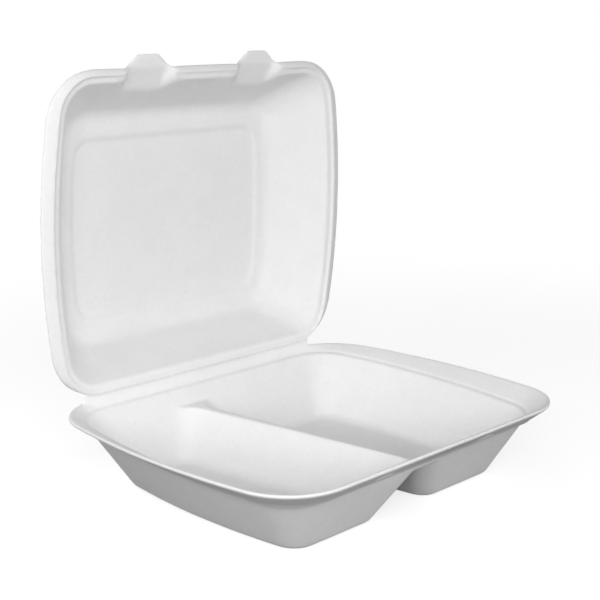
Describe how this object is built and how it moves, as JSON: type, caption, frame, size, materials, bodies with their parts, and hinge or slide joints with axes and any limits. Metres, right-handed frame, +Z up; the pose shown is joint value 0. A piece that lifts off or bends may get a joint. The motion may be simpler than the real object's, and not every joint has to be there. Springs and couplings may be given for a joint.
{
  "type": "clamshell food container",
  "caption": "Hinged food container of moulded plant pulp: a shallow tray divided by a ridge, with a domed lid that folds over it and locks with tabs in slots.",
  "frame": {"origin": "on the table, under the middle of the whole part's box with the lid open as modelled", "axes": "+Z up, X along the hinge, -Y the front with the slots for the locking tabs"},
  "size_m": [0.24, 0.2236, 0.2349],
  "materials": {
    "pulp": "matte, fine fibrous texture"
  },
  "bodies": {
    "base": {"base": "pulp"},
    "lid": {"lid": "pulp"}
  },
  "joints": [
    {"name": "lid_hinge", "type": "hinge", "parent": "base", "child": "lid", "pos_m": [0, 0.07742, 0.0432], "axis": [1, 0, 0], "range_deg": [-92, 88]}
  ]
}
